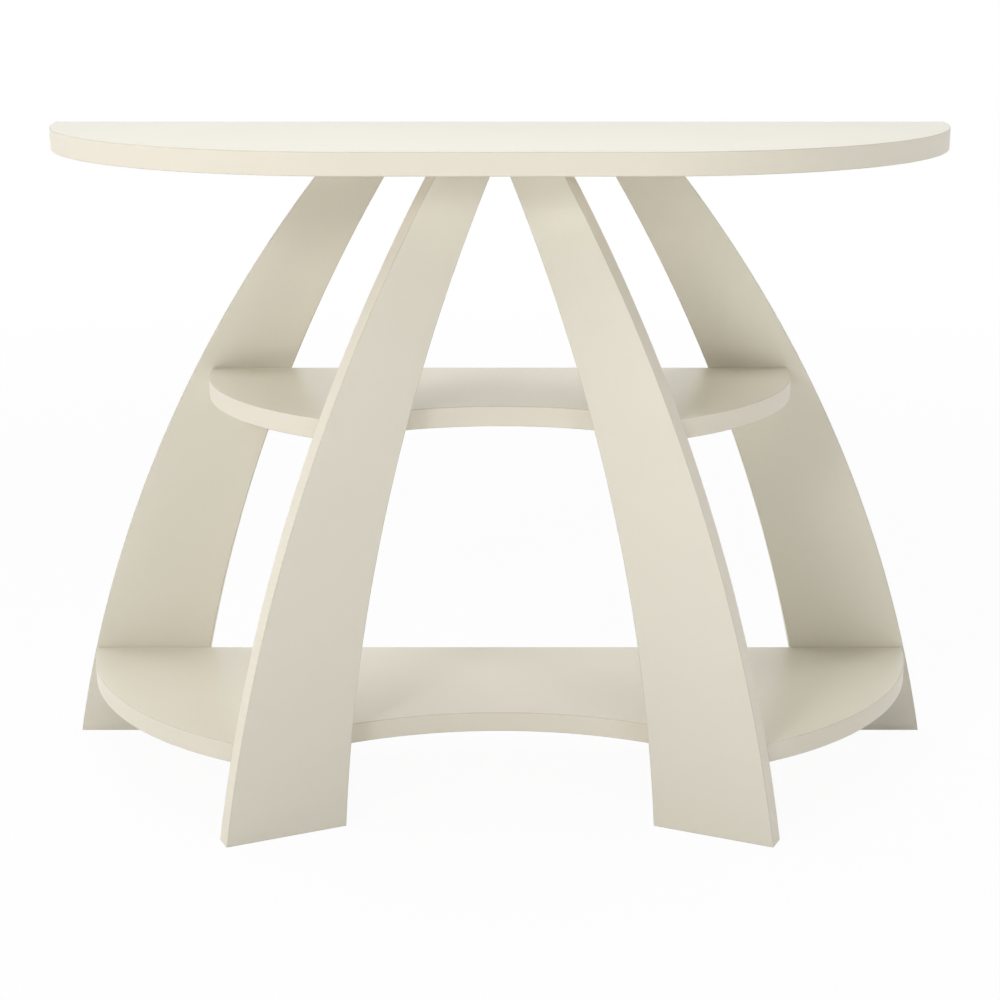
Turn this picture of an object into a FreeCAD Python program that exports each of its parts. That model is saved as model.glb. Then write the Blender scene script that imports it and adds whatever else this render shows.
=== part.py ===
# A demilune console table: a D-shaped top and two scooped shelves, carried by four bowed board legs.
# The boards are joined in the knock-down way, with dowels, cam bolts and cam locks in blind bores.
#
# Frame: millimetres, +Z up, origin on the floor in the middle of the table's footprint.
# The straight wall side faces +Y and the round front faces -Y.

import FreeCAD, Part
import Sketcher
import math
import os
import re

# Every size that can be set by itself
SIZES = {
    # The whole table; its depth runs from the wall side to the outer corners of the front feet
    "table_height": 762.0,
    "table_depth": 381.0,
    # The boards
    "top_width": 1055.0,
    "top_depth": 373.5,
    "top_thick": 25.0,
    "leg_thick": 24.0,
    "shelf_thick": 23.0,
    "edge_ease": 1.0,
    # Rear legs, flat against the wall side; the lean is how far the head stands inside the foot
    "rear_foot_reach": 531.5,
    "rear_foot_length": 147.0,
    "rear_head_length": 75.0,
    "rear_lean": 342.0,
    "rear_outer_radius": 1587.0,
    "rear_inner_radius": 1943.0,
    # Front legs, turned in plan, with their heads close together under the middle of the top
    "front_leg_angle": 24.8,
    "front_head_gap": 9.6,
    "front_foot_length": 141.7,
    "front_head_length": 64.6,
    "front_lean": 263.4,
    "front_outer_radius": 1985.0,
    "front_inner_radius": 2007.0,
    # Shelves: the height of the upper face, and how deep the scoop is between the front legs
    "middle_shelf_height": 469.3,
    "middle_shelf_width": 696.0,
    "middle_wing_radius": 290.0,
    "middle_scoop_depth": 22.3,
    "lower_shelf_height": 111.5,
    "lower_shelf_width": 1010.0,
    "lower_wing_radius": 398.0,
    "lower_scoop_depth": 41.3,
    # Dowels, two to a joint
    "dowel_diameter": 8.0,
    "dowel_length": 30.0,
    "dowel_hold": 11.5,
    "dowel_spacing": 32.0,
    "dowel_chamfer": 0.8,
    # Cam bolts: a thread in one board, and a shank, neck and head in the other
    "thread_diameter": 5.8,
    "thread_length": 11.0,
    "shank_diameter": 7.0,
    "neck_diameter": 4.4,
    "head_diameter": 6.8,
    "head_length": 3.0,
    # Cam locks, one to a bolt
    "cam_diameter": 15.0,
    "cam_cap": 4.0,
    "cam_reach": 34.0,
    "cam_recess": 0.3,
    "drive_slot_width": 2.0,
    "drive_slot_length": 9.0,
    "drive_slot_depth": 2.5,
    # Room round every fitting, spare depth at the end of every blind bore, and how far cuts run past a face
    "fit_gap": 0.1,
    "end_gap": 0.5,
    "cut_overrun": 2.0,
}


def arc_centre(start, end, rise, radius):
    """Formulas for the centre of a leg edge, which bows outwards from (start, 0) to (end, rise)."""
    run = f"({end} - ({start}))"
    chord = f"sqrt(pow({run}; 2) + pow({rise}; 2))"
    apothem = f"sqrt(pow({radius}; 2) - (pow({run}; 2) + pow({rise}; 2)) / 4)"
    across = f"({start} + {end}) / 2 + {apothem} * {rise} / {chord}"
    up = f"{rise} / 2 - {apothem} * {run} / {chord}"
    return across, up


def edge_at(edge, height):
    """Formula for the place of a leg edge across the board at a height."""
    return f"{edge}_across - sqrt(pow({edge}_radius; 2) - pow({height} - {edge}_up; 2))"


def worked_places():
    """Formulas for everything that follows from the sizes, in the order in which they need each other."""
    places = {
        "wall_side": "table_depth / 2",
        "leg_height": "table_height - top_thick",
        "rear_face": "wall_side - leg_thick",
        "front_foot_reach": "front_head_gap / 2 + (front_lean + front_head_length) * cos(front_leg_angle)",
        "top_half_width": "top_width / 2",
        "top_flat_half": "top_half_width - top_depth",
        "top_front": "wall_side - top_depth",
        "thread_radius": "thread_diameter / 2",
        "shank_radius": "shank_diameter / 2",
        "neck_radius": "neck_diameter / 2",
        "head_radius": "head_diameter / 2",
        "head_start": "cam_reach - head_length / 2",
        "head_end": "cam_reach + head_length / 2",
        "cam_height": "max(leg_thick; shelf_thick) / 2 + head_radius",
        "chamber_radius": "sqrt(pow(head_radius; 2) + pow(head_length / 2; 2)) + fit_gap",
        "slot_half": "neck_radius + fit_gap",
        "slot_end": "cam_diameter / 2 + cut_overrun",
        "drive_slot_half_width": "drive_slot_width / 2",
        "drive_slot_half_length": "drive_slot_length / 2",
        "neck_start": "cam_reach - cam_diameter / 2 - end_gap",
    }
    for leg in ("rear", "front"):
        inner_head = f"({leg}_lean + {leg}_head_length)"
        outer = arc_centre("0", f"{leg}_lean", "leg_height", f"{leg}_outer_radius")
        inner = arc_centre(f"{leg}_foot_length", inner_head, "leg_height", f"{leg}_inner_radius")
        places[f"{leg}_outer_across"], places[f"{leg}_outer_up"] = outer
        places[f"{leg}_inner_across"], places[f"{leg}_inner_up"] = inner
        places[f"{leg}_head_inner"] = inner_head
        # The bolt goes straight down, so it stands midway between the head's outer corner
        # and the inner edge at the depth of the cam lock
        lock_level = edge_at(f"{leg}_inner", "(leg_height - cam_reach)")
        places[f"{leg}_top_joint"] = f"({leg}_lean + {lock_level}) / 2"
    for shelf in ("middle", "lower"):
        level = f"{shelf}_shelf_height"
        places[f"{shelf}_half_width"] = f"{shelf}_shelf_width / 2"
        places[f"{shelf}_mid_plane"] = f"{level} - shelf_thick / 2"
        # A joint stands in the middle of the stretch where the leg and the shelf meet
        shelf_end = {"rear": f"rear_foot_reach - {shelf}_half_width", "front": "0"}
        for leg in ("rear", "front"):
            outer, inner = [edge_at(f"{leg}_{edge}", f"{shelf}_mid_plane") for edge in ("outer", "inner")]
            places[f"{leg}_{shelf}_joint"] = f"(max({outer}; {shelf_end[leg]}) + {inner}) / 2"
        for edge in ("outer", "inner"):
            along = f"{shelf}_flat_{edge}"
            places[along] = edge_at(f"front_{edge}", level)
            places[f"{along}_x"] = (f"front_foot_reach - {along} * cos(front_leg_angle)"
                                    " + leg_thick * sin(front_leg_angle)")
            places[f"{along}_y"] = (f"{along} * sin(front_leg_angle) + leg_thick * cos(front_leg_angle)"
                                    " - wall_side")
        depth = f"{shelf}_scoop_depth"
        places[f"{shelf}_scoop_radius"] = f"(pow({shelf}_flat_inner_x; 2) + pow({depth}; 2)) / (2 * {depth})"
    return places


doc = FreeCAD.newDocument("demilune_table")
PLACES = worked_places()


def named(text):
    """A formula in plain names, each with the name of the sheet that holds it."""
    def with_sheet(word):
        name = word.group()
        if name in SIZES:
            return "Sizes." + name
        if name in PLACES:
            return "Places." + name
        return name
    return re.sub(r"[a-z_]+", with_sheet, text)


def fill_sheet(name, rows, start=""):
    """A sheet of named rows; a formula starts with an equals sign and a size is a plain number."""
    sheet = doc.addObject("Spreadsheet::Sheet", name)
    for row, (alias, content) in enumerate(rows, start=1):
        sheet.set(f"A{row}", alias)
        sheet.set(f"B{row}", start + content)
        sheet.setAlias(f"B{row}", alias)
    doc.recompute()
    return sheet


sizes = fill_sheet("Sizes", [(alias, str(value)) for alias, value in SIZES.items()])
places = fill_sheet("Places", [(alias, named(formula)) for alias, formula in PLACES.items()], start="=")


def value(name):
    """The number that a sheet holds under a name, with its sign turned if the name has a minus."""
    plain = name.lstrip("-")
    if plain == "0":
        return 0.0
    number = float(getattr(sizes if plain in SIZES else places, plain))
    return -number if name.startswith("-") else number


def bind(thing, prop, formula):
    """Tie a property of an object to a formula of the sheets."""
    thing.setExpression(prop, named(formula))


# Sketches and bodies

def turned(name, side):
    """A sheet name for the left side, with its sign turned for the right side."""
    if side > 0 or name == "0":
        return name
    return name[1:] if name.startswith("-") else "-" + name


def add_body(name):
    """An empty body."""
    return doc.addObject("PartDesign::Body", name)


def add_sketch(body, name, plane):
    """A sketch on one of the body's own origin planes."""
    sketch = body.newObject("Sketcher::SketchObject", name)
    origin = [feature for feature in body.Origin.OriginFeatures if feature.Role == plane][0]
    sketch.AttachmentSupport = (origin, [""])
    sketch.MapMode = "FlatFace"
    return sketch


def constrain(sketch, label, formula, kind, *spot):
    """A named constraint, tied to the sheets."""
    index = sketch.addConstraint(Sketcher.Constraint(kind, *spot))
    sketch.renameConstraint(index, label)
    bind(sketch, f"Constraints.{label}", formula)


def bowed_edge(start, end, radius, bulge):
    """An arc from start to end; bulge is 1 where it bows to the right of the way, and -1 to the left."""
    chord = end - start
    middle = (start + end) * 0.5
    right = FreeCAD.Vector(chord.y, -chord.x, 0).normalize()
    apothem = math.sqrt(radius ** 2 - chord.Length ** 2 / 4)
    crown = middle + right * (bulge * (radius - apothem))
    return Part.Arc(start, crown, end)


def add_outline(sketch, corners, edges):
    """A closed outline. A corner is two sheet names; an edge is a line, or a radius name and its bulge.

    Every corner is held at its two coordinates and every arc at its radius, so nothing is left loose.
    """
    points = [FreeCAD.Vector(value(across), value(up), 0) for across, up in corners]
    count = len(corners)
    for index, edge in enumerate(edges):
        start = points[index]
        end = points[(index + 1) % count]
        if edge == "line":
            sketch.addGeometry(Part.LineSegment(start, end), False)
        else:
            sketch.addGeometry(bowed_edge(start, end, value(edge[0]), edge[1]), False)
    # An arc is kept counter-clockwise, so its first point is where a clockwise edge ends
    first = [2 if edge != "line" and edge[1] < 0 else 1 for edge in edges]
    for index in range(count):
        after = (index + 1) % count
        sketch.addConstraint(Sketcher.Constraint("Coincident", index, 3 - first[index], after, first[after]))
    for index, (across, up) in enumerate(corners):
        constrain(sketch, f"across_{index}", across, "DistanceX", index, first[index], points[index].x)
        constrain(sketch, f"up_{index}", up, "DistanceY", index, first[index], points[index].y)
        if edges[index] != "line":
            constrain(sketch, f"bow_{index}", edges[index][0], "Radius", index, value(edges[index][0]))


def add_pad(body, name, sketch, length, reverse=False):
    """A board of the given thickness from its outline."""
    pad = body.newObject("PartDesign::Pad", name)
    pad.Profile = sketch
    pad.Reversed = reverse
    bind(pad, "Length", length)
    doc.recompute()
    return pad


def ease(body, base, wanted):
    """Ease the edges of a board that show; wanted tells which edges those are."""
    edges = [f"Edge{number}" for number, edge in enumerate(base.Shape.Edges, start=1) if wanted(edge)]
    chamfer = body.newObject("PartDesign::Chamfer", "eased_edges")
    chamfer.Base = (base, edges)
    bind(chamfer, "Size", "edge_ease")
    doc.recompute()


def is_bowed(edge):
    return isinstance(edge.Curve, Part.Circle)


def is_level(edge):
    return abs(edge.BoundBox.ZLength) < edge.Length / 2


# Boards

def make_top():
    """A D: a straight front between two quarter rounds that end square on the wall side."""
    body = add_body("top_board")
    sketch = add_sketch(body, "outline", "XY_Plane")
    half = "top_half_width"
    back = "wall_side"
    front = "top_front"
    corners = [(f"-{half}", back), ("-top_flat_half", front), ("top_flat_half", front), (half, back)]
    add_outline(sketch, corners, [("top_depth", 1), "line", ("top_depth", 1), "line"])
    pad = add_pad(body, "board", sketch, "top_thick")
    corner = value(half) - value("edge_ease")
    ease(body, pad, lambda edge: is_level(edge) or abs(edge.BoundBox.Center.x) > corner)
    bind(body, "Placement.Base.z", "leg_height")
    return body


def make_leg(leg, side, name):
    """A tapered board, bowed outwards, drawn from the outer corner of its foot."""
    body = add_body(name)
    sketch = add_sketch(body, "outline", "XZ_Plane")
    corners = [
        ("0", "0"),
        (turned(f"{leg}_foot_length", side), "0"),
        (turned(f"{leg}_head_inner", side), "leg_height"),
        (turned(f"{leg}_lean", side), "leg_height"),
    ]
    # The way round turns over on the right side, and the bulges with it
    edges = ["line", (f"{leg}_inner_radius", -side), "line", (f"{leg}_outer_radius", side)]
    add_outline(sketch, corners, edges)
    pad = add_pad(body, "board", sketch, "leg_thick", reverse=True)
    ease(body, pad, is_bowed)
    bind(body, "Placement.Base.x", turned(f"-{leg}_foot_reach", side))
    if leg == "rear":
        bind(body, "Placement.Base.y", "rear_face")
    else:
        body.Placement.Rotation.Axis = FreeCAD.Vector(0, 0, 1)
        bind(body, "Placement.Base.y", "-wall_side")
        bind(body, "Placement.Rotation.Angle", turned("front_leg_angle", side))
    return body


def make_shelf(shelf, name):
    """A board with a straight back, two round wings, flats for the front legs and a scooped front."""
    body = add_body(name)
    sketch = add_sketch(body, "outline", "XY_Plane")
    half = f"{shelf}_half_width"
    left = [
        (f"-{half}", "rear_face"),
        (f"-{shelf}_flat_outer_x", f"{shelf}_flat_outer_y"),
        (f"-{shelf}_flat_inner_x", f"{shelf}_flat_inner_y"),
    ]
    right = [(turned(across, -1), up) for across, up in reversed(left)]
    wing = (f"{shelf}_wing_radius", 1)
    scoop = (f"{shelf}_scoop_radius", -1)
    add_outline(sketch, left + right, [wing, "line", scoop, "line", wing, "line"])
    pad = add_pad(body, "board", sketch, "shelf_thick", reverse=True)
    ease(body, pad, is_bowed)
    bind(body, "Placement.Base.z", f"{shelf}_shelf_height")
    return body


# Fittings, each modelled once: the joint plane is at zero, and the bolt points along +Z

def add_round(sketch, diameter):
    """A circle about the sketch's origin."""
    radius = value(diameter) / 2
    sketch.addGeometry(Part.Circle(FreeCAD.Vector(0, 0, 0), FreeCAD.Vector(0, 0, 1), radius), False)
    sketch.addConstraint(Sketcher.Constraint("Coincident", 0, 3, -1, 1))
    constrain(sketch, "across", diameter, "Diameter", 0, value(diameter))


def add_pocket(body, name, sketch, length, reverse=False):
    """A pocket, which has to take material away."""
    before = body.Tip.Shape.Volume
    pocket = body.newObject("PartDesign::Pocket", name)
    pocket.Profile = sketch
    pocket.Reversed = reverse
    bind(pocket, "Length", length)
    doc.recompute()
    if not pocket.Shape.Volume < before:
        raise RuntimeError(f"{name} cuts nothing")
    return pocket


def make_dowel():
    """A plain wooden dowel with chamfered ends."""
    body = add_body("dowel")
    sketch = add_sketch(body, "section", "XY_Plane")
    add_round(sketch, "dowel_diameter")
    pad = add_pad(body, "rod", sketch, "dowel_length")
    ends = [f"Edge{number}" for number, edge in enumerate(pad.Shape.Edges, start=1) if is_bowed(edge)]
    chamfer = body.newObject("PartDesign::Chamfer", "ends")
    chamfer.Base = (pad, ends)
    bind(chamfer, "Size", "dowel_chamfer")
    return body


def make_bolt():
    """A cam bolt, turned from one profile."""
    body = add_body("cam_bolt")
    sketch = add_sketch(body, "profile", "XZ_Plane")
    corners = [
        ("0", "-thread_length"),
        ("thread_radius", "-thread_length"),
        ("thread_radius", "0"),
        ("shank_radius", "0"),
        ("shank_radius", "neck_start"),
        ("neck_radius", "neck_start"),
        ("neck_radius", "head_start"),
        ("head_radius", "head_start"),
        ("head_radius", "head_end"),
        ("0", "head_end"),
    ]
    add_outline(sketch, corners, ["line"] * len(corners))
    turning = body.newObject("PartDesign::Revolution", "turning")
    turning.Profile = sketch
    turning.ReferenceAxis = (sketch, ["V_Axis"])
    return body


def make_lock():
    """A cam lock: a drum whose chamber holds the bolt's head, with a slot for the neck and a cross drive."""
    body = add_body("cam_lock")
    drum = add_sketch(body, "section", "XZ_Plane")
    add_round(drum, "cam_diameter")
    add_pad(body, "drum", drum, "cam_height")

    chamber = add_sketch(body, "chamber_section", "XZ_Plane")
    radius = value("chamber_radius")
    chamber.addGeometry(Part.Circle(FreeCAD.Vector(0, 0, 0), FreeCAD.Vector(0, 0, 1), radius), False)
    chamber.addConstraint(Sketcher.Constraint("Coincident", 0, 3, -1, 1))
    constrain(chamber, "radius", "chamber_radius", "Radius", 0, radius)
    bind(chamber, "AttachmentOffset.Base.z", "cam_height")
    add_pocket(body, "chamber", chamber, "cam_height - cam_cap")

    slot = add_sketch(body, "slot_section", "XZ_Plane")
    half = "slot_half"
    corners = [(f"-{half}", "-slot_end"), (half, "-slot_end"), (half, "0"), (f"-{half}", "0")]
    add_outline(slot, corners, ["line"] * len(corners))
    bind(slot, "AttachmentOffset.Base.z", "cam_height")
    add_pocket(body, "neck_slot", slot, "cam_height - cam_cap")

    drive = add_sketch(body, "drive_section", "XZ_Plane")
    half = "drive_slot_half_length"
    thin = "drive_slot_half_width"
    corners = [(f"-{half}", f"-{thin}"), (half, f"-{thin}"), (half, thin), (f"-{half}", thin)]
    add_outline(drive, corners, ["line"] * len(corners))
    groove = add_pocket(body, "drive_slot", drive, "drive_slot_depth", reverse=True)
    cross = body.newObject("PartDesign::PolarPattern", "drive_cross")
    cross.Originals = [groove]
    cross.Axis = (drive, ["N_Axis"])
    cross.Angle = 90
    cross.Occurrences = 2
    body.Tip = cross
    return body


# Joints: each leg meets the top and both shelves

def placement(across="0", depth="0", up="0", axis="0; 0; 1", angle="0"):
    """Formula for a place: three coordinates, then a turn about an axis."""
    spot = f"create(<<vector>>; {across}; {depth}; {up})"
    turn = f"create(<<rotation>>; create(<<vector>>; {axis}); {angle})"
    return f"create(<<placement>>; {spot}; {turn})"


def joint_place(level, leg, side, board):
    """Where the bolt leaves the board that holds its thread; +Z is the bolt and +Y the side of the lock."""
    across = turned(f"{leg}_{level}_joint", side)
    if level == "top":
        spot = placement(across, "leg_thick / 2", "leg_height", "0; 1; 0", "180")
    elif leg == "rear":
        spot = placement(across, "0", f"{level}_mid_plane", "0; 1; -1", "180")
    else:
        spot = placement(across, "leg_thick", f"{level}_mid_plane", "1; 0; 0", "-90")
    return f"{board.Name}.Placement * {spot}"


def add_drill(name, joint, diameter, length, spot):
    """A drill for one bore of a joint."""
    drill = doc.addObject("Part::Cylinder", name)
    bind(drill, "Radius", f"({diameter}) / 2 + fit_gap")
    bind(drill, "Height", length)
    bind(drill, "Placement", f"{joint} * {spot}")
    return drill


def add_drills(name, joint, bored_thick):
    """All bores of one joint, in both of its boards."""
    dowel_foot = "-dowel_hold - end_gap"
    dowel_bore = "dowel_length + 2 * end_gap"
    lock_mouth = placement(depth=f"{bored_thick} / 2 + cut_overrun", up="cam_reach", axis="1; 0; 0", angle="90")
    drills = [
        add_drill(f"{name}_pilot", joint, "thread_diameter", "thread_length + end_gap",
                  placement(up="-thread_length - end_gap")),
        add_drill(f"{name}_bolt_bore", joint, "shank_diameter", "cam_reach", placement()),
        add_drill(f"{name}_lock_bore", joint, "cam_diameter", "cam_height + cam_recess + cut_overrun",
                  lock_mouth),
    ]
    for mark in ("-", ""):
        half = f"{mark}dowel_spacing / 2"
        drills.append(add_drill(f"{name}_dowel_bore", joint, "dowel_diameter", dowel_bore,
                                placement(half, up=dowel_foot)))
    bores = doc.addObject("Part::MultiFuse", f"{name}_bores")
    bores.Shapes = drills
    return bores


def add_copy(piece, joint, spot):
    """One more of a fitting, at a place of a joint."""
    link = doc.addObject("App::Link", f"{piece.Name}_copy")
    link.LinkedObject = piece
    bind(link, "Placement", f"{joint} * {spot}")
    return link


def add_group(name, members):
    """A group of separate solids."""
    group = doc.addObject("Part::Compound", name)
    group.Links = members
    group.Label = name
    return group


def add_bored(name, board, bores):
    """A board with the bores of all its joints."""
    cut = doc.addObject("Part::Cut", name)
    cut.Base = board
    cut.Tool = add_group(f"{name}_bores", bores)
    cut.Label = name
    return cut


def main():
    sides = {"left": 1, "right": -1}
    legs = {(leg, side): make_leg(leg, sign, f"{leg}_leg_{side}_board")
            for leg in ("rear", "front") for side, sign in sides.items()}
    boards = {
        "top": make_top(),
        "middle": make_shelf("middle", "middle_shelf_board"),
        "lower": make_shelf("lower", "lower_shelf_board"),
    }
    names = {"top": "table_top", "middle": "middle_shelf", "lower": "lower_shelf"}
    groups = {"top": "top", "middle": "middle_shelf", "lower": "lower_shelf"}
    dowel = make_dowel()
    bolt = make_bolt()
    lock = make_lock()
    doc.recompute()

    nodes = []
    leg_bores = {key: [] for key in legs}
    for level, board in boards.items():
        bored_thick = "leg_thick" if level == "top" else "shelf_thick"
        lock_seat = placement(depth=f"{bored_thick} / 2 - cam_recess", up="cam_reach")
        bores, bolts, locks, dowels = [], [], [], []
        for (leg, side), leg_board in legs.items():
            joint = joint_place(level, leg, sides[side], leg_board)
            drilled = add_drills(f"{level}_{leg}_{side}", joint, bored_thick)
            bores.append(drilled)
            leg_bores[(leg, side)].append(drilled)
            bolts.append(add_copy(bolt, joint, placement()))
            locks.append(add_copy(lock, joint, lock_seat))
            for mark in ("-", ""):
                dowels.append(add_copy(dowel, joint, placement(f"{mark}dowel_spacing / 2", up="-dowel_hold")))
        nodes.append(add_bored(names[level], board, bores))
        nodes.append(add_group(f"{groups[level]}_cam_bolts", bolts))
        nodes.append(add_group(f"{groups[level]}_cam_locks", locks))
        nodes.append(add_group(f"{groups[level]}_dowels", dowels))
    for (leg, side), leg_board in legs.items():
        nodes.append(add_bored(f"{leg}_leg_{side}", leg_board, leg_bores[(leg, side)]))
    doc.recompute()

    for thing in doc.Objects:
        if "Invalid" in thing.State or "Error" in thing.State:
            raise RuntimeError(f"{thing.Label} failed: {thing.State}")
    for node in nodes:
        if node.Shape.isNull() or not node.Shape.isValid() or not node.Shape.Solids:
            raise RuntimeError(f"{node.Label} has no valid shape")

    os.makedirs("parts", exist_ok=True)
    for node in nodes:
        node.Shape.exportStep(f"parts/{node.Label}.step")
        print(f"{node.Label}: {len(node.Shape.Solids)} solids, {node.Shape.Volume:.0f} cubic mm")


main()
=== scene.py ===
# %% [markdown]
# A demilune table in painted board
#
# This table stands against a wall: the side at the wall is straight and the side to the room is round.
# A D-shaped top and two scooped shelves are carried by four bowed board legs, all under one cream paint.
# The solids were made in CAD, at full size. Here each board is drawn again with soft edges,
# gets its paint, and is put under a studio light that is close to the one in the photograph.

import math

import bpy
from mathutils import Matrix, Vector


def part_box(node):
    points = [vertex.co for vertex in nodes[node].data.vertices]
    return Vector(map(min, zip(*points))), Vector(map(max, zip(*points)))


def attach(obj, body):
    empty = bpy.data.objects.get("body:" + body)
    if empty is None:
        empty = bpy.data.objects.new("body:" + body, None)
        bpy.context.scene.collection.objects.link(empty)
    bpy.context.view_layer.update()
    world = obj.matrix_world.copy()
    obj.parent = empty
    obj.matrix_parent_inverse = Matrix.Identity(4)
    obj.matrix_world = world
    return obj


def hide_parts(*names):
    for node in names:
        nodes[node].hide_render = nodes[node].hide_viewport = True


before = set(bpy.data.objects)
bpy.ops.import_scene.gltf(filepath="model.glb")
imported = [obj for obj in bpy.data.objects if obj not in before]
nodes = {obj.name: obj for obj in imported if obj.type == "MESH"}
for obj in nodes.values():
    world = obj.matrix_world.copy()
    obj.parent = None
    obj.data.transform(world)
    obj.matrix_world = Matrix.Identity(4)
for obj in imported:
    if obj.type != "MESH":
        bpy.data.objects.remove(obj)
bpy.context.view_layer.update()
print("nodes:", sorted(nodes))

# %% [markdown]
# The camera
#
# The photograph was taken from the front, exactly in the middle, a little above the top, with a long lens.
# The horizon and the vanishing of the shelves give the lens, and the height that was chosen for the table
# gives the distance. A camera that is set first lets every later step be compared with the photograph.

# %% Set the camera
EYE = Vector((0.0, -2.3135, 0.966))
LOOK_DOWN = math.radians(14.97)
LENS = 74.88
SENSOR = 36.0

bpy.ops.object.camera_add(location=EYE, rotation=(math.pi / 2 - LOOK_DOWN, 0, 0))
camera = bpy.context.object
camera.name = "photo_camera"
camera.data.lens = LENS
camera.data.sensor_width = SENSOR
bpy.context.scene.camera = camera
bpy.context.scene.view_settings.view_transform = "Standard"
print("camera at", list(camera.location), "lens", LENS)

# %% [markdown]
# The studio floor
#
# The table was photographed in a white cove: a floor that turns up into a wall without a corner.
# A plane would do for the floor alone, but its far edge would show. So the back edge of a plane is
# spun up by a quarter turn and drawn on upwards, as paper hangs from a roll.

# %% Build the cove
FLOOR_SIZE = 12.0
COVE_BACK = 4.0
COVE_RADIUS = 1.5
COVE_RISE = 4.0
COVE_STEPS = 24
MERGE = 1e-4


def at_back(vertex):
    """Whether a corner of the floor is at its back edge."""
    return abs(vertex.co.y - COVE_BACK) < MERGE


bpy.ops.object.select_all(action="DESELECT")
bpy.ops.mesh.primitive_plane_add(size=FLOOR_SIZE, location=(0, COVE_BACK - FLOOR_SIZE / 2, 0))
cove = bpy.context.object
cove.name = cove.data.name = "studio_cove"
bpy.ops.object.transform_apply(location=True)
for face in cove.data.polygons:
    face.select = False
for edge in cove.data.edges:
    edge.select = all(at_back(cove.data.vertices[index]) for index in edge.vertices)
for vertex in cove.data.vertices:
    vertex.select = at_back(vertex)
bpy.ops.object.mode_set(mode="EDIT")
bpy.ops.mesh.select_mode(type="EDGE")
bpy.ops.mesh.spin(steps=COVE_STEPS, angle=math.pi / 2, center=(0, COVE_BACK, COVE_RADIUS), axis=(-1, 0, 0))
bpy.ops.mesh.extrude_region_move(TRANSFORM_OT_translate={"value": (0, 0, COVE_RISE)})
bpy.ops.mesh.select_mode(type="VERT")
bpy.ops.mesh.select_all(action="SELECT")
bpy.ops.mesh.remove_doubles(threshold=MERGE)
bpy.ops.object.mode_set(mode="OBJECT")
bpy.ops.object.shade_smooth()
print("cove reaches", [round(value, 2) for value in cove.dimensions])

# %% [markdown]
# Helpers for nodes
#
# A finish is a small net of nodes, and the same few steps come back in every net: add a node, read where
# a point is on the object, stretch a value to another range, work out a value from two others.
# Each step is a short function here, so that the nets below can be read as sentences.

# %% Define the node helpers
def add_node(tree, kind, **settings):
    node = tree.nodes.new(kind)
    for name, value in settings.items():
        setattr(node, name, value)
    return node


def object_place(tree):
    """Where a point is on the object, in metres."""
    return add_node(tree, "ShaderNodeTexCoord").outputs["Object"]


def stretch(tree, value, start, end, low=0.0, high=1.0):
    """Maps a value that runs from start to end to one that runs from low to high."""
    node = add_node(tree, "ShaderNodeMapRange")
    for socket, number in (("From Min", start), ("From Max", end), ("To Min", low), ("To Max", high)):
        node.inputs[socket].default_value = number
    tree.links.new(value, node.inputs["Value"])
    return node.outputs["Result"]


def calculate(tree, operation, first, second):
    """A Math node with a linked first value and a second one that is linked or a number."""
    node = add_node(tree, "ShaderNodeMath", operation=operation)
    tree.links.new(first, node.inputs[0])
    if isinstance(second, (int, float)):
        node.inputs[1].default_value = second
    else:
        tree.links.new(second, node.inputs[1])
    return node.outputs[0]


print("node helpers are ready")

# %% [markdown]
# White paper
#
# The paper has to be white in the picture, but more light would also bleach the table. So the paper glows,
# and only where the camera or a reflection sees it: the Light Path node knows which ray is asking.
# Near the table a share of plain paper stays in the mix, so that the shadow of the feet still shows.

# %% Paint the cove
PAPER = (0.86, 0.86, 0.86, 1)
NEAR_GLOW, FAR_GLOW = 0.95, 1.0
NEAR, FAR = 1.0, 3.5


def seen_directly(tree):
    """A value that is 1 for what the camera, a reflection or a glass sees, and 0 for light that bounces."""
    path = add_node(tree, "ShaderNodeLightPath")
    mirror = calculate(tree, "MAXIMUM", path.outputs["Is Camera Ray"], path.outputs["Is Glossy Ray"])
    return calculate(tree, "MAXIMUM", mirror, path.outputs["Is Transmission Ray"])


def mix_shaders(tree, share, first, second, output):
    node = add_node(tree, "ShaderNodeMixShader")
    tree.links.new(share, node.inputs["Fac"])
    tree.links.new(first.outputs[0], node.inputs[1])
    tree.links.new(second.outputs[0], node.inputs[2])
    tree.links.new(node.outputs[0], add_node(tree, output).inputs["Surface"])


paper = bpy.data.materials.new("white_paper")
paper.use_nodes = True
tree = paper.node_tree
tree.nodes.clear()
plain = add_node(tree, "ShaderNodeBsdfDiffuse")
plain.inputs["Color"].default_value = PAPER
glow = add_node(tree, "ShaderNodeEmission")
distance = add_node(tree, "ShaderNodeVectorMath", operation="LENGTH")
tree.links.new(object_place(tree), distance.inputs[0])
glow_share = stretch(tree, distance.outputs["Value"], NEAR, FAR, NEAR_GLOW, FAR_GLOW)
glow_share = calculate(tree, "MULTIPLY", glow_share, seen_directly(tree))
mix_shaders(tree, glow_share, plain, glow, "ShaderNodeOutputMaterial")
cove.data.materials.append(paper)
print("paper:", paper.name)

# %% [markdown]
# The lamps
#
# The rear legs in the photograph tell where its lamps stood: each shelf throws a shadow on the right leg
# and a weaker one on the left. So two small soft lamps stand beside the camera and above it, the left
# one stronger. Soft boxes high on the left, above the front and over the table light the boards that
# lie flat, and a strip near the floor and two low panels at the sides light their edges.
# The two small lamps would glare on the satin top when it is seen from behind, and the left panel on the
# lower shelf when it is seen from the right, so reflections leave these three out.

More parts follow.
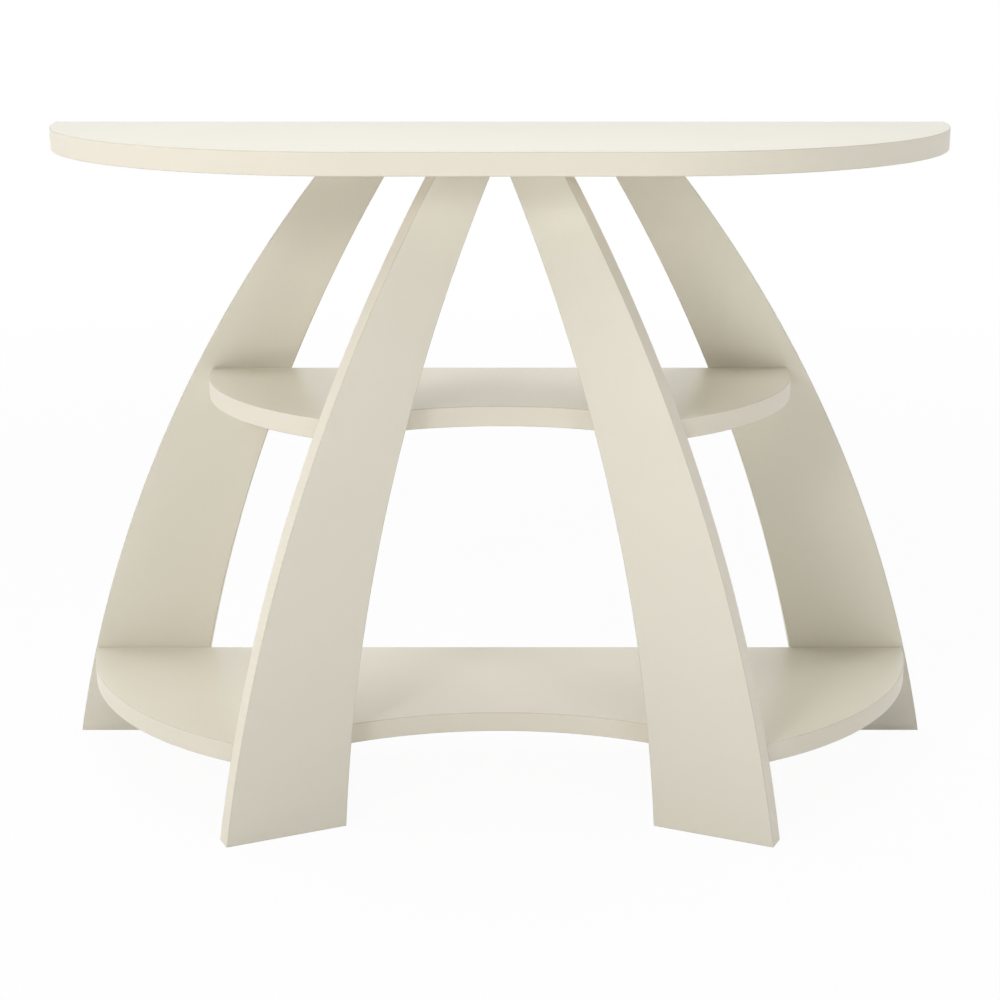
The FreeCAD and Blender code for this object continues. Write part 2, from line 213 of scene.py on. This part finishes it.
# %% Hang the lamps
AIM = Vector((0, 0, 0.42))
LAMPS = {
    # name: place, width and height, watts
    "front_left": ((-1.37, -2.37, 1.64), (0.6, 0.6), 18.5),
    "front_right": ((1.70, -2.33, 1.25), (0.6, 0.6), 12.5),
    "high_left": ((-1.42, -1.19, 2.78), (1.2, 2.2), 18.6),
    "high_front": ((0.0, -1.41, 3.07), (1.2, 1.2), 9.5),
    "over_top": ((0.0, -0.3, 2.8), (2.0, 1.6), 6.0),
    "floor_strip": ((0.0, -3.2, 0.15), (3.0, 0.25), 9.2),
    "left_panel": ((-3.0, -0.6, 0.35), (1.2, 0.7), 11.3),
    "right_panel": ((3.0, 0.2, 0.35), (2.0, 0.7), 2.7),
}
GLARING = ("front_left", "front_right", "left_panel")

for name, (place, size, watts) in LAMPS.items():
    aim = (AIM - Vector(place)).to_track_quat("-Z", "Y").to_euler()
    bpy.ops.object.light_add(type="AREA", location=place, rotation=aim)
    lamp = bpy.context.object
    lamp.name = lamp.data.name = name
    lamp.data.shape = "RECTANGLE"
    lamp.data.size, lamp.data.size_y = size
    lamp.data.energy = watts
    lamp.visible_camera = False
    lamp.visible_glossy = name not in GLARING
    print("lamp", name, watts, "W")

# %% [markdown]
# Light from behind
#
# A white studio is bright all round. Light comes over the wall of the cove and falls on the shelves and
# the floor, and the floor sends it up again under the boards. A lamp could stand there, but the world's
# background is softer: its strength follows how far a direction points to the back, and what is seen
# directly stays white.

# %% Light the air behind the cove
AIR_BEHIND = 4.30
WHITE = (1, 1, 1, 1)

world = bpy.data.worlds.new("studio_air")
bpy.context.scene.world = world
world.use_nodes = True
tree = world.node_tree
tree.nodes.clear()
direction = add_node(tree, "ShaderNodeSeparateXYZ")
tree.links.new(add_node(tree, "ShaderNodeTexCoord").outputs["Generated"], direction.inputs["Vector"])
strength = calculate(tree, "MAXIMUM", direction.outputs["Y"], 0)
strength = calculate(tree, "MULTIPLY", strength, AIR_BEHIND)
air = add_node(tree, "ShaderNodeBackground")
white = add_node(tree, "ShaderNodeBackground")
for background in (air, white):
    background.inputs["Color"].default_value = WHITE
white.inputs["Strength"].default_value = 1
tree.links.new(strength, air.inputs["Strength"])
mix_shaders(tree, seen_directly(tree), air, white, "ShaderNodeOutputWorld")
print("light from behind:", AIR_BEHIND)

# %% [markdown]
# How an outline is drawn
#
# Every board of this table is a flat shape with straight and round edges, cut from a sheet. A cube could
# be cut down to it, but drawing is closer to how a maker works: one point is set down, extruded along the
# straight edges and spun along the round ones. The spin operator turns a point round a centre, so each
# round edge needs the centre of its circle.

# %% Draw points, lines and arcs
FACET = 0.006
FEWEST_FACETS = 6
DOT = 0.01
MM_IN_METRE = 1000


def arc_centre(start, end, radius, side):
    """The centre of a round edge from start to end, on the side of the chord that side points to."""
    chord = end - start
    across = side - chord * (side.dot(chord) / chord.length_squared)
    return (start + end) / 2 + across.normalized() * math.sqrt(radius ** 2 - chord.length_squared / 4)


def set_point(name, place):
    """Sets down one point, the first corner of a board: a small plane, merged at its middle."""
    bpy.ops.object.select_all(action="DESELECT")
    bpy.ops.mesh.primitive_plane_add(size=DOT, location=place)
    board = bpy.context.object
    board.name = board.data.name = name
    bpy.ops.object.transform_apply(location=True)
    bpy.ops.object.mode_set(mode="EDIT")
    bpy.ops.mesh.select_mode(type="VERT")
    bpy.ops.mesh.select_all(action="SELECT")
    bpy.ops.mesh.merge(type="CENTER")
    return board


def line_to(here, there):
    """Extrudes the last point to the next corner."""
    bpy.ops.mesh.extrude_region_move(TRANSFORM_OT_translate={"value": there - here})


def arc_to(here, there, centre):
    """Spins the last point round a centre to the next corner."""
    start, end = here - centre, there - centre
    angle = start.angle(end)
    steps = max(FEWEST_FACETS, round(angle * start.length / FACET))
    bpy.ops.mesh.spin(steps=steps, angle=angle, center=centre, axis=end.cross(start).normalized())


print("round edges have facets of", FACET * MM_IN_METRE, "mm")

# %% [markdown]
# How an outline becomes a board
#
# When the outline comes back to its first corner, the two points there are merged, the closed line is filled
# with one face, and the face is extruded by the thickness of the sheet. The new faces may point inwards,
# so the normals are worked out afresh at the end.

# %% Draw a whole board
def draw_board(name, corners, centres, thickness):
    """Draws a closed outline, round where a centre is given and straight elsewhere, and thickens it."""
    board = set_point(name, corners[0])
    for here, there, centre in zip(corners, corners[1:] + corners[:1], centres):
        if centre is None:
            line_to(here, there)
        else:
            arc_to(here, there, centre)
    bpy.ops.mesh.select_all(action="SELECT")
    bpy.ops.mesh.remove_doubles(threshold=MERGE)
    bpy.ops.mesh.edge_face_add()
    bpy.ops.mesh.extrude_region_move(TRANSFORM_OT_translate={"value": thickness})
    bpy.ops.mesh.select_all(action="SELECT")
    bpy.ops.mesh.normals_make_consistent(inside=False)
    bpy.ops.object.mode_set(mode="OBJECT")
    print(name, "has", len(board.data.vertices), "points,", len(board.data.polygons), "faces")
    return board


print("points closer than", MERGE * MM_IN_METRE, "mm are merged")

# %% [markdown]
# The top
#
# The top is a straight front with a quarter circle at each end, and both circles have their centre on
# the wall edge. Drawing it takes two spins and two straight runs.

# %% Draw the top
TABLE_HEIGHT = 0.762
WALL = 0.1905
TOP_WIDTH = 1.055
TOP_DEPTH = 0.3735
TOP_THICK = 0.025
UP = Vector((0, 0, 1))

under_top = TABLE_HEIGHT - TOP_THICK
end, flat = TOP_WIDTH / 2, TOP_WIDTH / 2 - TOP_DEPTH
corners = [Vector((-end, WALL, under_top)), Vector((-flat, WALL - TOP_DEPTH, under_top)),
           Vector((flat, WALL - TOP_DEPTH, under_top)), Vector((end, WALL, under_top))]
centres = [Vector((-flat, WALL, under_top)), None, Vector((flat, WALL, under_top)), None]
top = draw_board("painted_top", corners, centres, UP * TOP_THICK)

# %% [markdown]
# The legs
#
# A leg is a tapered board whose two long edges are parts of large circles, so it looks like a bent bow.
# The rear legs stand flat along the wall side. The front legs are turned in plan, so that their heads come
# close together under the middle of the top. One leg of each pair is drawn in the plane of its seen face,
# and the other will be a mirrored copy of its mesh.

# %% Draw the left legs
LEG_THICK = 0.024
REAR = {"foot": 0.147, "head": 0.075, "lean": 0.342, "outer_radius": 1.587, "inner_radius": 1.943}
FRONT = {"foot": 0.1417, "head": 0.0646, "lean": 0.2634, "outer_radius": 1.985, "inner_radius": 2.007}
REAR_REACH = 0.5315
FRONT_TURN = math.radians(24.8)
FRONT_HEAD_GAP = 0.0096

inward_rear = Vector((1, 0, 0))
back_rear = Vector((0, 1, 0))
foot_rear = Vector((-REAR_REACH, WALL - LEG_THICK, 0))
inward_front = Vector((math.cos(FRONT_TURN), math.sin(FRONT_TURN), 0))
back_front = Vector((-math.sin(FRONT_TURN), math.cos(FRONT_TURN), 0))
front_reach = FRONT_HEAD_GAP / 2 + (FRONT["lean"] + FRONT["head"]) * math.cos(FRONT_TURN)
foot_front = Vector((-front_reach, -WALL, 0))


def draw_leg(name, leg, foot, inward, back):
    head = foot + inward * leg["lean"] + UP * under_top
    inner_foot, inner_head = foot + inward * leg["foot"], head + inward * leg["head"]
    inner = arc_centre(inner_foot, inner_head, leg["inner_radius"], inward)
    outer = arc_centre(foot, head, leg["outer_radius"], inward)
    corners = [foot, inner_foot, inner_head, head]
    return draw_board(name, corners, [None, inner, None, outer], back * LEG_THICK)


rear_left = draw_leg("painted_rear_leg_left", REAR, foot_rear, inward_rear, back_rear)
front_left = draw_leg("painted_front_leg_left", FRONT, foot_front, inward_front, back_front)

# %% [markdown]
# The shelves
#
# A shelf has a straight back that meets the rear legs, two round wings, and a scoop between the front legs.
# Beside the scoop are two short flats that lie against the back of the front legs. Their ends are where the
# leg's edges are at the shelf's height, and those edges are circles, so the place follows from the circle.
# The wings of the middle shelf are a little flatter here than in its solid, as the photograph shows them.

# %% Draw the shelves
SHELF_THICK = 0.023
MIDDLE = {"level": 0.4693, "width": 0.696, "wing_radius": 0.312, "scoop": 0.0223}
LOWER = {"level": 0.1115, "width": 1.010, "wing_radius": 0.398, "scoop": 0.0413}
MIRROR_X = Vector((-1, 1, 1))


def leg_edge_at(leg, edge, level):
    """How far along a leg's board one of its edges is, at a height above the floor."""
    start = Vector((0 if edge == "outer" else leg["foot"], 0, 0))
    end = Vector((leg["lean"] + (0 if edge == "outer" else leg["head"]), 0, under_top))
    radius = leg[edge + "_radius"]
    centre = arc_centre(start, end, radius, Vector((1, 0, 0)))
    return centre.x - math.sqrt(radius ** 2 - (level - centre.z) ** 2)


def draw_shelf(name, shelf):
    floor_of_shelf = UP * (shelf["level"] - SHELF_THICK)
    behind_leg = foot_front + back_front * LEG_THICK + floor_of_shelf
    outer, inner = [behind_leg + inward_front * leg_edge_at(FRONT, edge, shelf["level"])
                    for edge in ("outer", "inner")]
    back = Vector((-shelf["width"] / 2, WALL - LEG_THICK, floor_of_shelf.z))
    left = [back, outer, inner]
    right = [corner * MIRROR_X for corner in reversed(left)]
    wing = arc_centre(back, outer, shelf["wing_radius"], Vector((1, 1, 0)))
    scoop_radius = (inner.x ** 2 + shelf["scoop"] ** 2) / (2 * shelf["scoop"])
    scoop = arc_centre(inner, right[0], scoop_radius, Vector((0, -1, 0)))
    centres = [wing, None, scoop, None, wing * MIRROR_X, None]
    return draw_board(name, left + right, centres, UP * SHELF_THICK)


middle = draw_shelf("painted_middle_shelf", MIDDLE)
lower = draw_shelf("painted_lower_shelf", LOWER)

# %% [markdown]
# Soft edges
#
# Nobody leaves a painted edge knife sharp: it is eased with sandpaper so that the paint holds on it.
# A narrow Bevel modifier does the same, and it catches the light in the fine line that the photograph shows.
# The bevel also tells the paint where the eased edges are: it gives its faces a material number of their own,
# and that number is kept as an attribute.

# %% Ease the edges
EASE = 0.0010
EASE_STEPS = 3
EASE_FROM = math.radians(30)
FLAT_ENOUGH = 0.9
FACE, CUT_EDGE, ARRIS = 0, 1, 2


def select_only(piece):
    bpy.ops.object.select_all(action="DESELECT")
    piece.select_set(True)
    bpy.context.view_layer.objects.active = piece


def apply(piece, modifier):
    select_only(piece)
    bpy.ops.object.modifier_apply(modifier=modifier.name)


def ease_edges(board, flat_normal):
    """Bevels the sharp edges of a board and notes which faces are flat, cut edges or eased."""
    for face in board.data.polygons:
        face.material_index = FACE if abs(face.normal.dot(flat_normal)) > FLAT_ENOUGH else CUT_EDGE
    for _ in (FACE, CUT_EDGE, ARRIS):
        board.data.materials.append(None)
    bevel = board.modifiers.new("eased", "BEVEL")
    bevel.width = EASE
    bevel.segments = EASE_STEPS
    bevel.limit_method = "ANGLE"
    bevel.angle_limit = EASE_FROM
    bevel.material = ARRIS
    apply(board, bevel)
    kind = board.data.attributes.new("board_face", "FLOAT", "FACE")
    for face in board.data.polygons:
        kind.data[face.index].value = face.material_index
        face.material_index = 0
    board.data.materials.clear()
    print(board.name, "eased:", len(board.data.polygons), "faces")


for board in (top, middle, lower):
    ease_edges(board, UP)
ease_edges(rear_left, back_rear)
ease_edges(front_left, back_front)

# %% [markdown]
# The right legs
#
# A maker cuts both legs of a pair from one template and turns the second one over. Here the mesh of the left
# leg is copied and scaled by minus one across the middle of the table. That turns the faces inside out,
# so the normals are worked out afresh.

# %% Mirror the legs
def mirrored_copy(board, name):
    """A copy with a mesh of its own, mirrored across the middle of the table."""
    select_only(board)
    bpy.ops.object.duplicate(linked=False)
    copy = bpy.context.object
    copy.name = copy.data.name = name
    bpy.ops.object.mode_set(mode="EDIT")
    bpy.ops.mesh.select_all(action="SELECT")
    bpy.ops.transform.resize(value=MIRROR_X, center_override=(0, 0, 0))
    bpy.ops.mesh.normals_make_consistent(inside=False)
    bpy.ops.object.mode_set(mode="OBJECT")
    print(name, "has", len(copy.data.polygons), "faces")
    return copy


rear_right = mirrored_copy(rear_left, "painted_rear_leg_right")
front_right = mirrored_copy(front_left, "painted_front_leg_right")

# %% [markdown]
# Bores for the cam locks
#
# The table is taken to be a knock-down one with hidden joints: each cam lock turns in a round bore that is
# open on the back of a leg or under a shelf. The solids already hold the locks, so a bore is cut where
# each lock is: a cylinder is set on it and taken out of the board with a Boolean modifier.

# %% Find the locks and define the cut
BORE_RADIUS = 0.0076
BORE_DEPTH = 0.0162
BORE_SIDES = 64
OVERRUN = 0.004


def box_of(points):
    """The lowest and the highest corner of the box round some points."""
    low = Vector([min(point[axis] for point in points) for axis in range(3)])
    high = Vector([max(point[axis] for point in points) for axis in range(3)])
    return low, high


def lock_places(node):
    """The middle of each cam lock of a node, one in each quarter of the plan."""
    places = {}
    for side_x in (-1, 1):
        for side_y in (-1, 1):
            low, high = box_of([vertex.co for vertex in nodes[node].data.vertices
                                if vertex.co.x * side_x > 0 and vertex.co.y * side_y > 0])
            places[side_x, side_y] = (low + high) / 2
    return places


def bore(board, lock, into, mouth):
    """Cuts a blind bore whose mouth is in the plane through the point mouth, and which goes along into."""
    centre = lock + into * (mouth - lock).dot(into)
    middle_of_cut = centre + into * (BORE_DEPTH - OVERRUN) / 2
    turn = into.to_track_quat("Z", "Y").to_euler()
    bpy.ops.object.select_all(action="DESELECT")
    bpy.ops.mesh.primitive_cylinder_add(vertices=BORE_SIDES, radius=BORE_RADIUS, depth=BORE_DEPTH + OVERRUN,
                                        location=middle_of_cut, rotation=turn)
    cutter = bpy.context.object
    cut = board.modifiers.new("bore", "BOOLEAN")
    cut.operation = "DIFFERENCE"
    cut.solver = "EXACT"
    cut.object = cutter
    apply(board, cut)
    bpy.data.objects.remove(cutter, do_unlink=True)


top_locks = lock_places("top_cam_locks")
print("locks under the top:", top_locks)

# %% [markdown]
# Where the bores go
#
# The locks that hold the top sit in the heads of the legs, and their bores open on the backs of the legs.
# The locks that hold a shelf sit in the shelf, and their bores open on its underside. Nobody who stands
# in front of the table sees either.

# %% Cut the bores
for board, quarter, back, foot in (
    (rear_left, (-1, 1), back_rear, foot_rear),
    (rear_right, (1, 1), back_rear, foot_rear),
    (front_left, (-1, -1), back_front, foot_front),
    (front_right, (1, -1), back_front * MIRROR_X, foot_front * MIRROR_X),
):
    bore(board, top_locks[quarter], -back, foot + back * LEG_THICK)
    print(board.name, "bored:", len(board.data.polygons), "faces")
for board, shelf, node in (
    (middle, MIDDLE, "middle_shelf_cam_locks"),
    (lower, LOWER, "lower_shelf_cam_locks"),
):
    for lock in lock_places(node).values():
        bore(board, lock, UP, UP * (shelf["level"] - SHELF_THICK))
    print(board.name, "bored:", len(board.data.polygons), "faces")

# %% [markdown]
# Shading of the boards
#
# Smooth shading rounds off the facets of the curved edges, but it would also bend the light on the flat
# faces. The Weighted Normal modifier lets the large flat faces decide, so that only the curved and the
# eased edges look round.

# %% Smooth the boards
BOARDS = [top, middle, lower, rear_left, rear_right, front_left, front_right]
SMOOTH_ANGLE = math.radians(50)
LARGEST_FACE_WINS = 100

for board in BOARDS:
    select_only(board)
    bpy.ops.object.shade_smooth_by_angle(angle=SMOOTH_ANGLE)
    weighted = board.modifiers.new("flat_faces", "WEIGHTED_NORMAL")
    weighted.keep_sharp = True
    weighted.weight = LARGEST_FACE_WINS
    apply(board, weighted)
print("smoothed:", [board.name for board in BOARDS])

# %% [markdown]
# Helpers for finishes
#
# No real surface is the same all over, so every finish here starts from noise and mixes colours by it.
# What a finish does with them is put in a node group, a small net with named inputs and outputs, which
# a material then uses like one node. These are the helpers for all three.

# %% Define noise, mixed colours and groups
def noise(tree, detail, scale=None):
    """Noise that lies still on the object. Its scale is set here, or linked later."""
    texture = add_node(tree, "ShaderNodeTexNoise")
    texture.inputs["Detail"].default_value = detail
    if scale:
        texture.inputs["Scale"].default_value = scale
    tree.links.new(object_place(tree), texture.inputs["Vector"])
    return texture


def mix_colour(tree, share, first, second):
    node = add_node(tree, "ShaderNodeMix", data_type="RGBA")
    tree.links.new(share, node.inputs["Factor"])
    tree.links.new(first, node.inputs["A"])
    tree.links.new(second, node.inputs["B"])
    return node.outputs["Result"]


def new_group(name, inputs, outputs):
    """An empty node group with named sockets, and its two end nodes."""
    group = bpy.data.node_groups.new(name, "ShaderNodeTree")
    for direction, sockets in (("INPUT", inputs), ("OUTPUT", outputs)):
        for socket, kind in sockets.items():
            group.interface.new_socket(socket, in_out=direction, socket_type="NodeSocket" + kind)
    return group, add_node(group, "NodeGroupInput"), add_node(group, "NodeGroupOutput")


print("helpers for finishes are ready")

# %% [markdown]
# How a sprayed coat varies
#
# The boards have a sprayed satin paint. From far away it is one cream, but a real coat is never even: it is
# a little thicker here and there, and its skin has a very fine orange peel. The cut edges of the board drink
# paint, so they are warmer and less glossy. On the eased edges the coat is thin and painted darker, and this
# darker tone is also painted shade: it draws the thin dark line along each arris.
# All that is a node group, which puts out the colour, the roughness and the height of the skin.

# %% Build the coat
CLOUD_SCALE, CLOUD_DETAIL = 5, 3
CLOUD_FROM, CLOUD_TO = 0.2, 0.8
PEEL_SCALE, PEEL_DETAIL = 420, 2
FACE_ROUGHNESS = (0.26, 0.34)
EDGE_ROUGHNESS = 0.48

coat_group, given, made = new_group(
    "sprayed_coat",
    {"Coat": "Color", "Thin Coat": "Color", "Cut Edge": "Color", "Shaded Arris": "Color"},
    {"Color": "Color", "Roughness": "Float", "Height": "Float"},
)
cloud = noise(coat_group, CLOUD_DETAIL, CLOUD_SCALE).outputs["Fac"]
peel = noise(coat_group, PEEL_DETAIL, PEEL_SCALE).outputs["Fac"]
kind = add_node(coat_group, "ShaderNodeAttribute", attribute_name="board_face").outputs["Fac"]
on_edge = stretch(coat_group, kind, FACE, CUT_EDGE)
shaded_arris_share = stretch(coat_group, kind, CUT_EDGE, ARRIS)
thin = stretch(coat_group, cloud, CLOUD_FROM, CLOUD_TO)
colour = mix_colour(coat_group, thin, given.outputs["Coat"], given.outputs["Thin Coat"])
colour = mix_colour(coat_group, on_edge, colour, given.outputs["Cut Edge"])
# the eased edges are painted darker: painted shade for the thin dark line along each arris
colour = mix_colour(coat_group, shaded_arris_share, colour, given.outputs["Shaded Arris"])
skin = add_node(coat_group, "ShaderNodeMix", data_type="FLOAT")
skin.inputs["B"].default_value = EDGE_ROUGHNESS
coat_group.links.new(on_edge, skin.inputs["Factor"])
coat_group.links.new(stretch(coat_group, cloud, 0, 1, *FACE_ROUGHNESS), skin.inputs["A"])
coat_group.links.new(colour, made.inputs["Color"])
coat_group.links.new(skin.outputs["Result"], made.inputs["Roughness"])
coat_group.links.new(peel, made.inputs["Height"])
print("coat puts out", [socket.name for socket in made.inputs if socket.name])

# %% [markdown]
# The cream paint
#
# The paint itself is one Principled shader. The group gives it its colour and roughness, and a Bump node
# turns the height of the skin into the small dents of the orange peel. The gloss is the same all over,
# so it is set on the shader's own socket.

# %% Mix the paint
CREAM = (0.785, 0.747, 0.635, 1)
CREAM_THIN = (0.767, 0.729, 0.618, 1)
CREAM_EDGE = (0.790, 0.739, 0.625, 1)
# the darker tone of the eased edges is painted shade, which draws the thin dark line along each arris
SHADED_ARRIS_TONE = (0.680, 0.640, 0.530, 1)
GLOSS = 0.40
PEEL_STRENGTH, PEEL_HEIGHT = 0.15, 0.0002


def new_finish(name, group):
    """A material with a Principled shader and a node group that gives it its colour and roughness."""
    finish = bpy.data.materials.new(name)
    finish.use_nodes = True
    tree = finish.node_tree
    shader = tree.nodes["Principled BSDF"]
    effect = add_node(tree, "ShaderNodeGroup", node_tree=group)
    tree.links.new(effect.outputs["Color"], shader.inputs["Base Color"])
    tree.links.new(effect.outputs["Roughness"], shader.inputs["Roughness"])
    return finish, shader, effect


paint, shader, coat = new_finish("cream_paint", coat_group)
tones = {"Coat": CREAM, "Thin Coat": CREAM_THIN, "Cut Edge": CREAM_EDGE, "Shaded Arris": SHADED_ARRIS_TONE}
for socket, tone in tones.items():
    coat.inputs[socket].default_value = tone
shader.inputs["Specular IOR Level"].default_value = GLOSS
dents = add_node(paint.node_tree, "ShaderNodeBump")
dents.inputs["Strength"].default_value = PEEL_STRENGTH
dents.inputs["Distance"].default_value = PEEL_HEIGHT
paint.node_tree.links.new(coat.outputs["Height"], dents.inputs["Height"])
paint.node_tree.links.new(dents.outputs["Normal"], shader.inputs["Normal"])
print("paint:", paint.name)

# %% [markdown]
# The boards take their places
#
# Each painted board stands for one solid: the solid stays for its weight and its contacts, and the board is
# what is seen. The printed numbers tell how far the two boxes are apart, corner by corner.

# %% Paint the boards and put them in place of the solids
STANDS_FOR = {
    "table_top": top, "middle_shelf": middle, "lower_shelf": lower,
    "rear_leg_left": rear_left, "rear_leg_right": rear_right,
    "front_leg_left": front_left, "front_leg_right": front_right,
}

for node, board in STANDS_FOR.items():
    low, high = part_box(node)
    board.data.materials.append(paint)
    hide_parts(node)
    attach(board, "root")
    new_low, new_high = box_of([vertex.co for vertex in board.data.vertices])
    shifts = (*(new_low - low), *(new_high - high))
    print(node, "differs by", [round(shift * MM_IN_METRE, 2) for shift in shifts], "mm")

# %% [markdown]
# A fine grain for the fittings
#
# The cam locks are cast in zinc, the bolts are zinc plated and the dowels are turned from beech. All three
# have a fine grain, in which both the colour and the shine change from place to place. It is one node group,
# and each finish gives it a scale and tones of its own.

# %% Build the grain
GRAIN_DETAIL = 4

grain_group, given, made = new_group(
    "fine_grain",
    {"Scale": "Float", "Dark": "Color", "Pale": "Color", "Smooth": "Float", "Rough": "Float"},
    {"Color": "Color", "Roughness": "Float"},
)
grain = noise(grain_group, GRAIN_DETAIL)
grain_group.links.new(given.outputs["Scale"], grain.inputs["Scale"])
colour = mix_colour(grain_group, grain.outputs["Fac"], given.outputs["Dark"], given.outputs["Pale"])
shine = add_node(grain_group, "ShaderNodeMapRange")
grain_group.links.new(grain.outputs["Fac"], shine.inputs["Value"])
grain_group.links.new(given.outputs["Smooth"], shine.inputs["To Min"])
grain_group.links.new(given.outputs["Rough"], shine.inputs["To Max"])
grain_group.links.new(colour, made.inputs["Color"])
grain_group.links.new(shine.outputs["Result"], made.inputs["Roughness"])
print("grain takes", [socket.name for socket in given.outputs if socket.name])

# %% [markdown]
# The fittings
#
# Only the cam locks show, on the backs of the legs and under the shelves. The bolts and the dowels are inside
# the boards. Their solids have the right shape, so they stay as they are and only get a finish.

# %% Finish the fittings
def grained(name, metallic, scale, smooth, rough, dark, pale):
    finish, shader, grain = new_finish(name, grain_group)
    shader.inputs["Metallic"].default_value = metallic
    values = {"Scale": scale, "Dark": (*dark, 1), "Pale": (*pale, 1), "Smooth": smooth, "Rough": rough}
    for socket, value in values.items():
        grain.inputs[socket].default_value = value
    return finish


FITTINGS = {
    "cam_locks": grained("lock_zinc", metallic=1, scale=700, smooth=0.34, rough=0.50,
                         dark=(0.51, 0.51, 0.52), pale=(0.62, 0.62, 0.64)),
    "cam_bolts": grained("zinc_plate", metallic=1, scale=500, smooth=0.20, rough=0.36,
                         dark=(0.57, 0.57, 0.59), pale=(0.70, 0.70, 0.72)),
    "dowels": grained("beech", metallic=0, scale=600, smooth=0.55, rough=0.65,
                      dark=(0.60, 0.43, 0.26), pale=(0.72, 0.55, 0.36)),
}

for name, node in nodes.items():
    for fitting, finish in FITTINGS.items():
        if name.endswith(fitting):
            node.data.materials.clear()
            node.data.materials.append(finish)
            print(name, "is finished in", finish.name)
